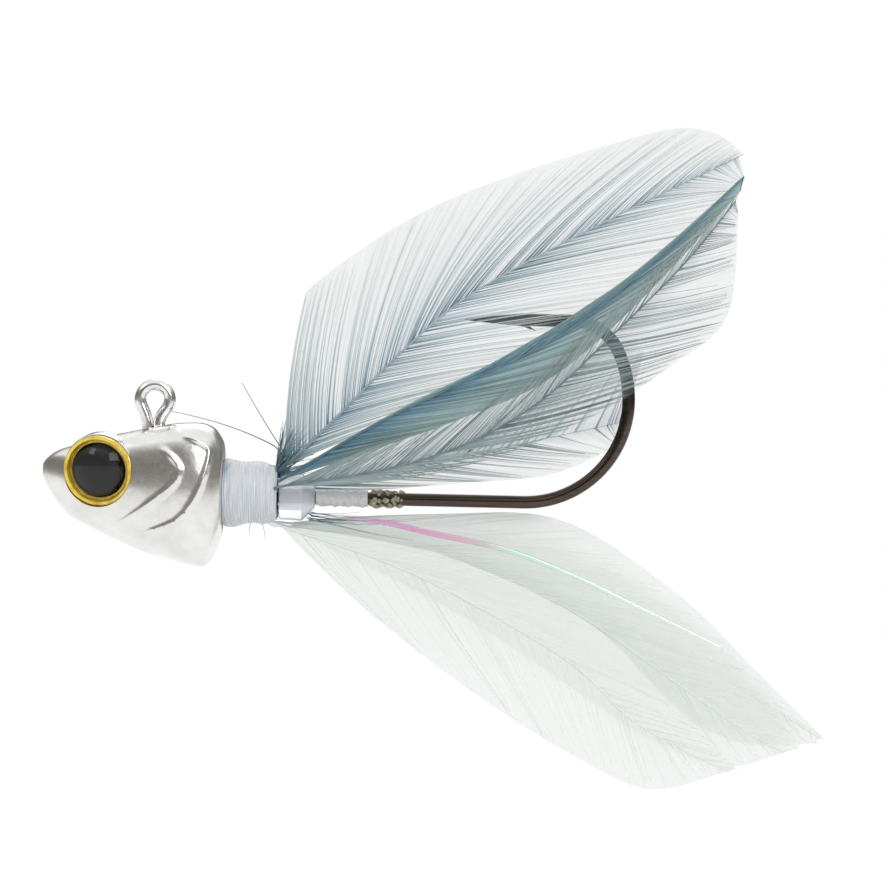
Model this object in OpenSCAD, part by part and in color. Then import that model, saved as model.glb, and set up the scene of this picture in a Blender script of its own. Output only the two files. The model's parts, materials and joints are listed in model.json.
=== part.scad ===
// Feathered lead-head jig: a fish-shaped head cast on a 90 degree jig hook, with domed eyes,
// hackles bound on behind the head, and one flash strand.
// Millimetres. The origin is the centre of the hook's line eye. The shank runs along +X, +Z
// is up, the hook lies in the plane y = 0, the nose points to -X and the left side is -Y.

/* [Hook] */
// Diameter of the shank wire
wire_d = 1.28; // [1.0:0.02:1.54]
// Diameter of the wire round the line eye
eye_wire_d = 1.18; // [0.94:0.02:1.42]
// Diameter of the hole in the line eye
eye_hole_d = 1.86; // [1.7:0.02:2.4]
// Height of the line eye's centre over the shank's axis
eye_rise = 9.45; // [8.6:0.05:11.4]
// Straight shank, from the stem's axis to the start of the bend
shank_len = 37.7; // [31:0.1:46]
// Radius of the lower part of the bend
bend_r = 10.3; // [8.5:0.1:12.4]
// Radius of the tight turn at the top of the bend
top_bend_r = 5.2; // [4.2:0.1:6.4]
// Top arm, from the end of the bend to the tip of the point
point_arm_len = 10.8; // [9:0.1:13]
// Ground taper at the end of the top arm
point_len = 5.8; // [4.8:0.1:7]

/* [Head] */
// Length of the cast head
head_len = 18.05; // [15:0.05:21.7]
// Height of the cast head
head_h = 14.4; // [13.4:0.1:17.4]
// Width of the cast head
head_w = 10.3; // [9.4:0.1:12.4]
// Distance of the nose in front of the line eye
nose_ahead = 11.05; // [9.5:0.05:13]
// Depth of the chin below the shank's axis
chin_drop = 7.15; // [6.2:0.05:8.4]
// Diameter of the collar that the thread is wound on
collar_d = 3.8; // [3.2:0.1:4.4]

/* [Eyes] */
// Diameter of the printed foil cup
eye_d = 7.0; // [5.8:0.1:7.6]
// Width of the gold ring that shows between the pupil and the foil's rim
gold_ring_w = 0.48; // [0.2:0.02:0.9]
// Height of the clear dome
dome_h = 1.6; // [1.2:0.1:2.0]
// Distance of the eye behind the nose
eye_back = 6.0; // [5.0:0.1:6.6]
// Height of the eye over the shank's axis
eye_up = 2.4; // [1.9:0.1:2.9]
// Turn of the eye towards the nose, in degrees
eye_toe = 13; // [8:1:17]
// Turn of the eye towards the chin, in degrees
eye_droop = 11; // [6:1:14]

/* [Binding] */
// Length of the thread wrap
wrap_len = 5.4; // [4.4:0.1:7]
// Diameter of the thread wrap at the head
wrap_front_d = 7.0; // [6.4:0.1:8.4]
// Diameter of the thread wrap at its rear end
wrap_rear_d = 6.0; // [5.8:0.1:7.2]
// Diameter of a bound quill stub
quill_d = 0.6; // [0.4:0.05:0.65]
// Diameter of the clear flare cone
cone_d = 4.7; // [3.8:0.1:4.9]
// Length of the flare cone's straight part
cone_body_len = 2.4; // [2:0.1:3]
// Length of the flare cone's tapered part
cone_tail_len = 1.2; // [1:0.1:2]
// Length of the thread on the shank
shank_thread_len = 5.2; // [4:0.1:6.5]
// Thickness of the thread on the shank
shank_thread_t = 0.2; // [0.15:0.05:0.3]

/* [Feathers] */
// Reach of the blue hackles from the tie-in to the tips
blue_len = 55; // [46:1:66]
// Reach of the white hackles and the flash strand
white_len = 60; // [50:1:72]
// Thickness of a quill in the feather
rachis_t = 0.45; // [0.35:0.05:0.55]
// Thickness of the vane
vane_t = 0.2; // [0.15:0.05:0.3]
// Width of the flash strand
flash_w = 0.6; // [0.4:0.1:1.0]
// Diameter of a loose barb
barb_d = 0.2; // [0.16:0.02:0.3]

/* [Hidden] */
$fn = 64;

// Clearances
cast_gap = 0.02;      // lead round the hook wire
socket_gap = 0.05;    // foil cup in its socket
seat_gap = 0.02;      // dome over the pupil and in the foil's rim
bind_gap = 0.05;      // between the pieces tied on in a row
bore_gap = 0.03;      // cone, thread and glue on the shank wire

// Hook
shank_z = -eye_rise;
eye_land = 0.05;      // depth of the flat that polish leaves inside the line eye
eye_open = 50;        // the ring stops this far below level on each side, in degrees
eye_mean_r = eye_hole_d / 2 + eye_wire_d / 2 - eye_land;
neck_gap = 0.06;      // between the stem and the wire's closed end
stem_x = (eye_wire_d + neck_gap) / 2;
neck_r = (eye_mean_r * cos(eye_open) - stem_x) / (1 - cos(eye_open));
neck_z = -(eye_mean_r + neck_r) * sin(eye_open);
closed_end_len = 0.7;
heel_r = 2.2;         // bend inside the lead
mid_bend_r = 11.5;
mid_bend_turn = 26;
bend_x = shank_len - stem_x;
bend_z = shank_z + bend_r;
mid_x = bend_x + bend_r - mid_bend_r;
top_x = mid_x + (mid_bend_r - top_bend_r) * cos(mid_bend_turn);
top_z = bend_z + (mid_bend_r - top_bend_r) * sin(mid_bend_turn);
arm_z = top_z + top_bend_r;
point_r = 0.04;
barb_t = 0.4;
joint_lap = 0.08;     // a bend runs this far over the stretch at each end
joint_step = 0.04;    // and is this much thicker, so that the two join cleanly

// Head: share of the length, height of top and bottom over the chin, and half-width
head_sections = [
    [0, 70, 60, 14], [4, 75, 51, 33], [9, 79, 42, 50], [16, 82, 33, 64],
    [27, 86, 26, 78], [38, 90, 19, 87], [49, 93, 13, 94], [60, 96, 8, 98],
    [72, 99, 4, 100], [83, 100, 1, 99], [89, 99.5, 0, 96], [94, 97, 4, 89],
    [97.5, 92, 14, 80], [100, 85, 25, 70]
];
head_rings = 30;
head_sides = 24;
head_squareness = 0.8;
head_rear_x = head_len - nose_ahead;
chin_z = shank_z - chin_drop;

// Eyes, measured from the floor of the socket
eye_seat_y = head_w / 2 - 2.15;
foil_t = 0.3;
foil_rim_t = 0.35;
foil_rim_h = 1.1;
pupil_t = 0.15;
pupil_d = eye_d - 2 * foil_rim_t - 2 * gold_ring_w;
socket_rim_t = 0.25;
socket_rim_h = 0.9;
socket_root = 1.6;
dome_r = eye_d / 2 - foil_rim_t - seat_gap;
dome_ball_r = (dome_r * dome_r + dome_h * dome_h) / (2 * dome_h);

// Binding
wrap_x = head_rear_x + bind_gap;
wrap_rear_x = wrap_x + wrap_len;
wrap_z = shank_z + 0.3;
quill_ring_r = collar_d / 2 + bind_gap + quill_d / 2;
wrap_bore_r = quill_ring_r + quill_d / 2 + bind_gap;
cone_x = wrap_rear_x + 0.2;
cone_tail_x = cone_x + cone_body_len;
cone_tail_d = 2.0;
shank_thread_x = cone_tail_x + cone_tail_len + bind_gap;
glue_x = shank_thread_x + shank_thread_len + bind_gap;
glue_d = 0.9;
glue_pitch = 0.6;
glue_count = 6;
shank_bore_r = wire_d / 2 + bore_gap;
glue_ring_r = shank_bore_r + 0.1;

// Feathers. Each swings about an axis along Y at its tie-in.
// Outlines are points [along, up] from the tie-in, in hundredths of the feather's reach.
tie_x = wrap_rear_x + 0.55;
flare_reach = 5;      // distance in which a feather spreads away from the shank
spread = 0.03;        // sideways drift of a feather for each millimetre of reach
edge_t = 0.12;
feather_rings = 22;

WIDE = [
    [[0.5, 0.5], [10.5, 10.5], [22, 22.5], [34.5, 33], [57.5, 46], [81, 58]],
    [[0, 3], [0.5, 23.5], [3.5, 32], [27.5, 48.5], [63.5, 61.5], [75.5, 62.5], [82, 58.5]],
    [[2, 0.5], [17.5, 8], [32.5, 15.5], [49.5, 24], [67, 37.5], [82.3, 54]]
];
FOLDED = [
    [[0.5, 0], [16, 8], [30, 14.5], [48.5, 23.5], [65, 37.5], [82, 55.5]],
    [[1, 2], [16.5, 10.6], [31, 18.2], [49, 27], [66, 40.4], [82, 56.3]],
    [[2, -0.5], [16.5, 5.5], [30, 10.5], [48, 19], [64.5, 34], [81.5, 53.5]]
];
NEAR = [
    [[0.5, 0], [19, 3.5], [33.5, 8.5], [46.5, 16.5], [59, 28.5], [71.5, 41.5], [80.5, 53]],
    [[1, 1.5], [18, 8], [32.5, 13.5], [46.5, 22.5], [60, 34.5], [72.5, 46.5], [81, 54.5]],
    [[2.5, -0.5], [23.5, 2], [40, 6.5], [56.5, 14], [70, 23.5], [79.5, 32.5], [81, 51]]
];
FAR = [
    [[0.5, 0], [14.5, 2.5], [28.5, 6], [45.5, 10], [62.5, 14]],
    [[1.5, 2], [16.5, 9.5], [32.5, 18.5], [51, 27], [65.5, 27]],
    [[2, -0.5], [18, 0.5], [32.5, 2], [49, 4], [62, 10]]
];
LOWER = [
    [[0, -0.5], [22.5, -8], [47, -21], [58, -30.5], [66.5, -35.5], [75, -39.4]],
    [[1.5, 0], [25, -4], [50, -14.5], [63.5, -26.5], [71.5, -34], [76.5, -38.9]],
    [[0.5, -1.5], [15, -14.5], [33.5, -28], [50.5, -38], [62, -42.6], [73.5, -39.8]]
];
MIDDLE = [
    [[0.5, -0.5], [23.5, -4.5], [46.5, -12.5], [66, -25], [78, -33], [85, -36.7]],
    [[1.5, 0], [26.5, 0], [51.5, -4.5], [71.5, -17], [83.5, -29], [87.5, -36]],
    [[1.5, -1], [23.5, -10.5], [43.5, -23], [61.5, -34.5], [75, -39.2], [84.5, -36.9]]
];
UPPER = [
    [[0.5, 0], [21.5, -2.5], [41.5, -8.5], [58.5, -16.5], [75.5, -25], [91, -34.2]],
    [[1.5, 0.3], [25, 2], [46.5, 1.5], [66.5, -10.5], [80, -23], [92, -34.5]],
    [[2, -1], [23.5, -7], [43.5, -17], [60, -27], [76.5, -35], [90.5, -35.2]]
];
STRAND = [[0.5, 0.5], [14.5, -0.5], [25, -2.5], [37.5, -5], [48.5, -9], [59.5, -14], [73.5, -20.5]];

// Loose barbs, as points in the plane y = 0 from the wrap's rear rim, in millimetres
LONG_BARB = [[0.2, 0.1], [-0.1, 1.5], [-2.2, 2.6], [-4.9, 3.6], [-7.8, 4.4], [-10.5, 4.95]];
SHORT_BARB = [[0.5, 0.1], [0.42, 1.3], [-0.5, 2.7], [-2.1, 5.2], [-3.8, 8]];

// Smooth curve through points, with u from 0 to 1
function blend(a, b, c, d, t) =
    0.5 * (2 * b + (c - a) * t + (2 * a - 5 * b + 4 * c - d) * t * t + (3 * b - a - 3 * c + d) * t * t * t);
function on_curve(points, u) =
    let (spans = len(points) - 1, k = min(floor(u * spans), spans - 1), t = u * spans - k)
    blend(points[max(k - 1, 0)], points[k], points[k + 1], points[min(k + 2, spans)], t);

// Rounded box of half-width w between two heights, as a ring of points
function round_side(v) = sign(v) * pow(abs(v), head_squareness);
function head_ring(s) = let (
    x = -nose_ahead + head_len * s[0] / 100,
    top = chin_z + head_h * s[1] / 100,
    bottom = chin_z + head_h * s[2] / 100,
    half_w = head_w / 2 * s[3] / 100
) [for (i = [0:head_sides - 1]) let (a = 360 * i / head_sides) [
    x,
    half_w * round_side(cos(a)),
    (top + bottom) / 2 + (top - bottom) / 2 * round_side(sin(a))
]];

// Solid through rings that all have the same number of points
module skin(rings) {
    sides = len(rings[0]);
    last = (len(rings) - 1) * sides;
    points = [for (ring = rings) each ring];
    walls = [for (i = [0:len(rings) - 2], k = [0:sides - 1])
        let (a = i * sides + k, b = i * sides + (k + 1) % sides)
        each [[a, b + sides, b], [a, a + sides, b + sides]]];
    front = [for (k = [0:sides - 1]) k];
    back = [for (k = [sides - 1:-1:0]) last + k];
    polyhedron(points, concat([front], walls, [back]), convexity = 4);
}

// Torus piece in the hook's plane, from one angle over a turn
module arc(r, from, turn, d) {
    rotate([90, 0, 0]) rotate([0, 0, from]) rotate_extrude(angle = turn) translate([r, 0]) circle(d = d);
}
module bend(r, from, turn, d) {
    lap = joint_lap / r * 180 / PI;
    arc(r, from - lap, turn + 2 * lap, d + joint_step);
}
module along_x(x, z, d, length) {
    translate([x, 0, z]) rotate([0, 90, 0]) cylinder(d = d, h = length);
}

// The wire that the lead surrounds: stem, heel and shank
module cast_in_wire(extra) {
    heel_z = shank_z + heel_r;
    translate([-stem_x, 0, heel_z]) cylinder(d = eye_wire_d + extra, h = neck_z - heel_z);
    translate([heel_r - stem_x, 0, heel_z]) bend(heel_r, 180, 90, wire_d + extra);
    along_x(heel_r - stem_x, shank_z, wire_d + extra, bend_x - heel_r + stem_x);
}

module line_eye_ring() {
    rotate([90, 0, 0]) rotate([0, 0, -eye_open]) rotate_extrude(angle = 180 + 2 * eye_open) intersection() {
        translate([eye_mean_r, 0]) circle(d = eye_wire_d);
        translate([eye_hole_d / 2, -eye_wire_d]) square([2 * eye_wire_d, 2 * eye_wire_d]);
    }
}
module eye_neck() {
    reach = eye_mean_r + neck_r;
    translate([reach * cos(eye_open), 0, neck_z]) bend(neck_r, 180 - eye_open, eye_open, eye_wire_d);
}
module hook_bend() {
    translate([bend_x, 0, bend_z]) bend(bend_r, 270, 90, wire_d);
    translate([mid_x, 0, bend_z]) arc(mid_bend_r, 0, mid_bend_turn, wire_d);
    translate([top_x, 0, top_z]) bend(top_bend_r, mid_bend_turn, 90 - mid_bend_turn, wire_d);
}
module hook_point() {
    taper_x = top_x - point_arm_len + point_len;
    along_x(taper_x, arm_z, wire_d, point_arm_len - point_len);
    translate([taper_x - point_len, 0, arm_z]) rotate([0, 90, 0])
        cylinder(r1 = point_r, r2 = wire_d / 2, h = point_len);
    translate([taper_x, barb_t / 2, arm_z]) rotate([90, 0, 0]) linear_extrude(barb_t)
        polygon([[-1.3, -0.2], [0.4, -0.3], [1.4, -1.05], [0.1, -0.85]]);
}
module hook() {
    color("#4d4440") {
        line_eye_ring();
        eye_neck();
        mirror([1, 0, 0]) eye_neck();
        translate([stem_x, 0, neck_z - closed_end_len]) cylinder(d = eye_wire_d, h = closed_end_len);
        cast_in_wire(0);
        hook_bend();
        hook_point();
    }
}

module place_eye() {
    translate([eye_back - nose_ahead, -eye_seat_y, shank_z + eye_up])
        rotate([90 + eye_droop, 0, -eye_toe]) children();
}
module eye_socket_rim() {
    translate([0, 0, -socket_root])
        cylinder(d = eye_d + 2 * socket_gap + 2 * socket_rim_t, h = socket_root + socket_rim_h);
}
module jig_head() {
    color("#c9ccc9") difference() {
        union() {
            skin([for (i = [0:head_rings - 1]) head_ring(on_curve(head_sections, i / (head_rings - 1)))]);
            along_x(head_rear_x - 1, wrap_z, collar_d, wrap_len + 1);
            place_eye() eye_socket_rim();
            mirror([0, 1, 0]) place_eye() eye_socket_rim();
        }
        place_eye() cylinder(d = eye_d + 2 * socket_gap, h = eye_d);
        mirror([0, 1, 0]) place_eye() cylinder(d = eye_d + 2 * socket_gap, h = eye_d);
        cast_in_wire(2 * cast_gap);
        translate([stem_x, 0, neck_z - closed_end_len - cast_gap])
            cylinder(d = eye_wire_d + 2 * cast_gap, h = closed_end_len);
    }
}
module eye_foil() {
    color("#d2b23c") place_eye() difference() {
        cylinder(d = eye_d, h = foil_rim_h);
        translate([0, 0, foil_t]) cylinder(d = eye_d - 2 * foil_rim_t, h = foil_rim_h);
    }
}
module eye_pupil() {
    color("#141214") place_eye() translate([0, 0, foil_t]) cylinder(d = pupil_d, h = pupil_t);
}
module eye_dome() {
    color("#dfe6e8") place_eye() translate([0, 0, foil_t]) difference() {
        intersection() {
            translate([0, 0, dome_h - dome_ball_r]) sphere(r = dome_ball_r);
            cylinder(r = dome_r, h = dome_h);
        }
        translate([0, 0, -pupil_t]) cylinder(d = pupil_d + 2 * seat_gap, h = 2 * pupil_t + seat_gap);
    }
}
module eye_foil_left() { eye_foil(); }
module eye_foil_right() { mirror([0, 1, 0]) eye_foil(); }
module eye_pupil_left() { eye_pupil(); }
module eye_pupil_right() { mirror([0, 1, 0]) eye_pupil(); }
module eye_dome_left() { eye_dome(); }
module eye_dome_right() { mirror([0, 1, 0]) eye_dome(); }

module thread_wrap() {
    color("#d3d8dc") difference() {
        translate([wrap_x, 0, wrap_z]) rotate([0, 90, 0])
            cylinder(d1 = wrap_front_d, d2 = wrap_rear_d, h = wrap_len);
        along_x(wrap_x - 1, wrap_z, 2 * wrap_bore_r, wrap_len + 2);
    }
}
// One stub for each feather, at the feather's place round the collar
module feather_butts() {
    color("#8fa9b0") for (turn = [105, 143, 168, 8, 240, 292, 318])
        translate([0, quill_ring_r * cos(turn), quill_ring_r * sin(turn)])
            along_x(wrap_x + 0.4, wrap_z, quill_d, wrap_len - 0.3);
}
module flare_cone() {
    color("#dde6ea") difference() {
        union() {
            along_x(cone_x, shank_z, cone_d, cone_body_len);
            translate([cone_tail_x, 0, shank_z]) rotate([0, 90, 0])
                cylinder(d1 = cone_d, d2 = cone_tail_d, h = cone_tail_len);
        }
        along_x(cone_x - 1, shank_z, 2 * shank_bore_r, cone_body_len + cone_tail_len + 2);
    }
}
module shank_thread() {
    color("#d9dcd8") difference() {
        along_x(shank_thread_x, shank_z, 2 * (shank_bore_r + shank_thread_t), shank_thread_len);
        along_x(shank_thread_x - 1, shank_z, 2 * shank_bore_r, shank_thread_len + 2);
    }
}
module glue_beads() {
    color("#d8d6c4") for (i = [0:glue_count - 1]) {
        x = glue_x + glue_d / 2 + i * glue_pitch;
        difference() {
            translate([x, glue_ring_r * cos(137 * i), shank_z + glue_ring_r * sin(137 * i)])
                sphere(d = glue_d * (1 - 0.08 * i));
            along_x(x - glue_d, shank_z, 2 * shank_bore_r, 2 * glue_d);
        }
    }
}

// A feather as a thin closed sheet. Its sideways place depends only on the distance from
// the tie-in, so it swings in its own surface and keeps clear of the feathers beside it.
function side_place(y_tie, y_out, r) = y_tie + (y_out - y_tie) * (1 - exp(-r / flare_reach)) + spread * r;
ACROSS = [[0, edge_t], [0.5, vane_t], [0.92, vane_t], [1, rachis_t]];
module feather(shape, reach, tie_z, y_tie, y_out, side) {
    function mm(p) = p * reach / 100;
    function station(u) = let (
        mid = mm(on_curve(shape[0], u)),
        top = mm(on_curve(shape[1], u)),
        low = mm(on_curve(shape[2], u)),
        line = concat(
            [for (a = ACROSS) [top + (mid - top) * a[0], a[1]]],
            [for (k = [2:-1:0]) [low + (mid - low) * ACROSS[k][0], ACROSS[k][1]]]
        ),
        face = [for (p = line) [p[0].x, side * side_place(y_tie, y_out, norm(p[0])), p[0].y, p[1] / 2]]
    ) concat(
        [for (f = face) [f[0], f[1] - f[3], f[2]]],
        [for (k = [len(face) - 1:-1:0]) [face[k][0], face[k][1] + face[k][3], face[k][2]]]
    );
    translate([tie_x, 0, tie_z]) sheet([for (i = [0:feather_rings - 1]) station(i / (feather_rings - 1))]);
}
// Solid through rings that each go along the front of a sheet and back along its rear
module sheet(rings) {
    sides = len(rings[0]);
    wide = sides / 2;
    last = (len(rings) - 1) * sides;
    points = [for (ring = rings) each ring];
    walls = [for (i = [0:len(rings) - 2], k = [0:sides - 1])
        let (a = i * sides + k, b = i * sides + (k + 1) % sides)
        each [[a, b + sides, b], [a, a + sides, b + sides]]];
    ends = [for (k = [0:wide - 2])
        let (a = k, b = k + 1, c = sides - 2 - k, d = sides - 1 - k)
        each [[a, b, c], [a, c, d], [last + a, last + c, last + b], [last + a, last + d, last + c]]];
    polyhedron(points, concat(walls, ends), convexity = 6);
}

blue_tie_z = wrap_z + 2.55;
white_tie_z = wrap_z - 2.95;
left = -1;
right = 1;
module hackle_blue_wide() { color("#c6dcdc") feather(WIDE, blue_len, blue_tie_z, 0.7, 2.3, left); }
module hackle_blue_folded() { color("#4f7d8c") feather(FOLDED, blue_len, blue_tie_z - 0.9, 1.9, 2.95, left); }
module hackle_blue_near() { color("#86aeb6") feather(NEAR, blue_len, blue_tie_z - 1.7, 2.8, 3.6, left); }
module hackle_blue_far() { color("#a9c8cc") feather(FAR, blue_len, blue_tie_z - 2.2, 2.8, 2.8, right); }
module hackle_white_lower() { color("#eef3ef") feather(LOWER, white_len, white_tie_z, 1.35, 1.35, left); }
module hackle_white_middle() { color("#f2f5f2") feather(MIDDLE, white_len, white_tie_z, 1.35, 1.35, right); }
module hackle_white_upper() { color("#eaf1ec") feather(UPPER, white_len, white_tie_z, 2.0, 2.0, right); }
module flash_strand() {
    half = flash_w / 2 * 100 / white_len;
    edge_up = [for (p = STRAND) p + [0, half]];
    edge_low = [for (p = STRAND) p - [0, half]];
    color("#e3b3d6") feather([STRAND, edge_up, edge_low], white_len, white_tie_z + 0.9, 2.4, 2.4, left);
}

// Thin rod through points, as one tube
module loose_barb(points) {
    sides = 6;
    rings = 3 * (len(points) - 1) + 1;
    skin([for (i = [0:rings - 1]) let (
        u = i / (rings - 1),
        p = on_curve(points, u),
        ahead = on_curve(points, min(u + 0.01, 1)) - on_curve(points, max(u - 0.01, 0)),
        across = [-ahead.y, ahead.x] / norm(ahead)
    ) [for (k = [0:sides - 1]) let (a = 360 * k / sides) [
        p.x + across.x * barb_d / 2 * cos(a),
        barb_d / 2 * sin(a),
        p.y + across.y * barb_d / 2 * cos(a)
    ]]]);
}
module loose_barbs() {
    color("#2d6483") translate([wrap_rear_x, 0, wrap_z + wrap_rear_d / 2]) {
        loose_barb(LONG_BARB);
        loose_barb(SHORT_BARB);
    }
}

jig_head();
hook();
eye_foil_left();
eye_foil_right();
eye_pupil_left();
eye_pupil_right();
eye_dome_left();
eye_dome_right();
thread_wrap();
feather_butts();
flare_cone();
shank_thread();
glue_beads();
hackle_blue_wide();
hackle_blue_folded();
hackle_blue_near();
hackle_blue_far();
hackle_white_lower();
hackle_white_middle();
hackle_white_upper();
flash_strand();
loose_barbs();
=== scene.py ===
import json
import math
import random
import bpy
import numpy as np
from mathutils import Matrix, Vector


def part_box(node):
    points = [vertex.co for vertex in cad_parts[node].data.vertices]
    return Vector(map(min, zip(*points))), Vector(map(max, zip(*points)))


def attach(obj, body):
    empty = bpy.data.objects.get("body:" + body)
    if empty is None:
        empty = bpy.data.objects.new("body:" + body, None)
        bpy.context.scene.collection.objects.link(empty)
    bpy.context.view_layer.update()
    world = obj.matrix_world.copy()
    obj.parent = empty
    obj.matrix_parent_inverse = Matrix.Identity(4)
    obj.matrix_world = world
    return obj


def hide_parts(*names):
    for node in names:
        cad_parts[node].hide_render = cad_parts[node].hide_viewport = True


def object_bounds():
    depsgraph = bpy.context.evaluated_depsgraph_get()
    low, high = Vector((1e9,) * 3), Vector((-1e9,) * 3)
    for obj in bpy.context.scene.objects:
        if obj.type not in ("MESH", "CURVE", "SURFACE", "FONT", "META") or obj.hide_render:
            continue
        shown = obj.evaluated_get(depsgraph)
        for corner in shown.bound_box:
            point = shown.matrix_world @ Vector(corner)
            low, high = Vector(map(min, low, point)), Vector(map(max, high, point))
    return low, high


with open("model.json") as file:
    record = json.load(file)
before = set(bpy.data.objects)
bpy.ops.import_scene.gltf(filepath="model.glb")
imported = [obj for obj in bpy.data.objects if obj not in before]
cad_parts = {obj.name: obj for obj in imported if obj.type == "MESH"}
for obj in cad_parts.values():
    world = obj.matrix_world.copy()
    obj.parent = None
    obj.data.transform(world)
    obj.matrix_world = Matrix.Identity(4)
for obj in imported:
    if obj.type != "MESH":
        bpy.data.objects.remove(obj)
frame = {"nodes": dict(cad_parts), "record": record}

# Feathered lead-head jig. Metres, in the model's frame: the line eye's centre is the origin,
# the shank runs along +X, the nose points to -X and the left side is -Y.
MM = 0.001
cad_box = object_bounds()
dice = random.Random(7)
draw = np.random.default_rng(7)
joints = {j["child"]: j for j in frame["record"]["behaviour"]["joints"]}


# ---------------------------------------------------------------- camera, studio and light

def make_camera():
    tilt = math.radians(1.3)
    right = Vector((math.cos(tilt), 0, math.sin(tilt)))
    up = Vector((-math.sin(tilt), 0, math.cos(tilt)))
    back = Vector((0, -1, 0))
    lens = bpy.data.cameras.new("camera")
    lens.sensor_width = 36
    lens.lens = 162
    lens.clip_start = 0.01
    camera = bpy.data.objects.new("camera", lens)
    bpy.context.scene.collection.objects.link(camera)
    turn = Matrix((right, up, back)).transposed().to_4x4()
    camera.matrix_world = Matrix.Translation(Vector((29.0, -400, -3.8)) * MM) @ turn
    bpy.context.scene.camera = camera


def tint(red, green, blue):
    """A colour on the 0 to 255 scale of a paint chart, as the light it gives back."""
    shares = [value / 255 for value in (red, green, blue)]
    return [v / 12.92 if v <= 0.04045 else ((v + 0.055) / 1.055) ** 2.4 for v in shares]


class Nodes:
    """Short hand for a node tree."""

    def __init__(self, tree):
        self.tree = tree

    def add(self, kind, **settings):
        node = self.tree.nodes.new(kind)
        for key, value in settings.items():
            setattr(node, key, value)
        return node

    def wire(self, out, into):
        self.tree.links.new(out, into)

    def maths(self, how, a, b=None):
        node = self.add("ShaderNodeMath", operation=how, use_clamp=False)
        for place, value in enumerate([a, b]):
            if value is None:
                continue
            if isinstance(value, (int, float)):
                node.inputs[place].default_value = value
            else:
                self.wire(value, node.inputs[place])
        return node.outputs[0]

    def reach(self, value, low, high, out_low, out_high):
        node = self.add("ShaderNodeMapRange", clamp=True)
        self.wire(value, node.inputs["Value"])
        for key, number in zip(("From Min", "From Max", "To Min", "To Max"), (low, high, out_low, out_high)):
            node.inputs[key].default_value = number
        return node.outputs["Result"]

    def ramp(self, value, stops):
        node = self.add("ShaderNodeValToRGB")
        band = node.color_ramp
        while len(band.elements) < len(stops):
            band.elements.new(0.5)
        for element, (place, colour) in zip(band.elements, stops):
            element.position = place
            element.color = (*colour, 1)
        self.wire(value, node.inputs["Fac"])
        return node.outputs["Color"]

    def mix(self, share, a, b, how="MIX"):
        node = self.add("ShaderNodeMix", data_type="RGBA", blend_type=how)
        for key, value in ((0, share), (6, a), (7, b)):
            if isinstance(value, (int, float)):
                node.inputs[key].default_value = value
            elif isinstance(value, (list, tuple)):
                node.inputs[key].default_value = (*value, 1)
            else:
                self.wire(value, node.inputs[key])
        return node.outputs[2]

    def noise(self, vector, scale, detail=3.0, roughness=0.55):
        node = self.add("ShaderNodeTexNoise")
        node.inputs["Scale"].default_value = scale
        node.inputs["Detail"].default_value = detail
        node.inputs["Roughness"].default_value = roughness
        self.wire(vector, node.inputs["Vector"])
        return node.outputs["Fac"]

    def stretched(self, vector, scale):
        node = self.add("ShaderNodeMapping")
        node.inputs["Scale"].default_value = scale
        self.wire(vector, node.inputs["Vector"])
        return node.outputs["Vector"]

    def object_place(self):
        return self.add("ShaderNodeTexCoord").outputs["Object"]

    def along_across(self):
        split = self.add("ShaderNodeSeparateXYZ")
        self.wire(self.add("ShaderNodeUVMap", uv_map="UVMap").outputs["UV"], split.inputs[0])
        return split.outputs["X"], split.outputs["Y"]

    def bump(self, height, depth, strength=1.0):
        node = self.add("ShaderNodeBump")
        node.inputs["Distance"].default_value = depth
        node.inputs["Strength"].default_value = strength
        self.wire(height, node.inputs["Height"])
        return node.outputs["Normal"]


def studio_rays(nodes):
    light_path = nodes.add("ShaderNodeLightPath").outputs
    seen = nodes.maths("MAXIMUM", light_path["Is Camera Ray"], light_path["Is Glossy Ray"])
    return nodes.maths("MAXIMUM", seen, light_path["Is Transmission Ray"])


def make_world():
    world = bpy.data.worlds.new("white studio")
    bpy.context.scene.world = world
    world.use_nodes = True
    nodes = Nodes(world.node_tree)
    ground = world.node_tree.nodes["Background"]
    ground.inputs["Color"].default_value = (1, 1, 1, 1)
    nodes.wire(nodes.reach(studio_rays(nodes), 0, 1, 0.62, 1.0), ground.inputs["Strength"])


def make_floor():
    low = cad_box[0]
    bpy.ops.mesh.primitive_plane_add(size=6, location=(0.03, 0, low[2] - 14 * MM))
    floor = bpy.context.object
    floor.name = "studio_floor"
    paint = bpy.data.materials.new("floor paper")
    paint.use_nodes = True
    nodes = Nodes(paint.node_tree)
    paper = paint.node_tree.nodes["Principled BSDF"]
    paper.inputs["Base Color"].default_value = (0.84, 0.84, 0.84, 1)
    paper.inputs["Roughness"].default_value = 0.9
    glow = nodes.add("ShaderNodeEmission")
    glow.inputs["Strength"].default_value = 1.12
    both = nodes.add("ShaderNodeMixShader")
    nodes.wire(nodes.maths("MULTIPLY", studio_rays(nodes), 0.82), both.inputs["Fac"])
    nodes.wire(paper.outputs[0], both.inputs[1])
    nodes.wire(glow.outputs[0], both.inputs[2])
    nodes.wire(both.outputs[0], paint.node_tree.nodes["Material Output"].inputs["Surface"])
    floor.data.materials.append(paint)


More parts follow.
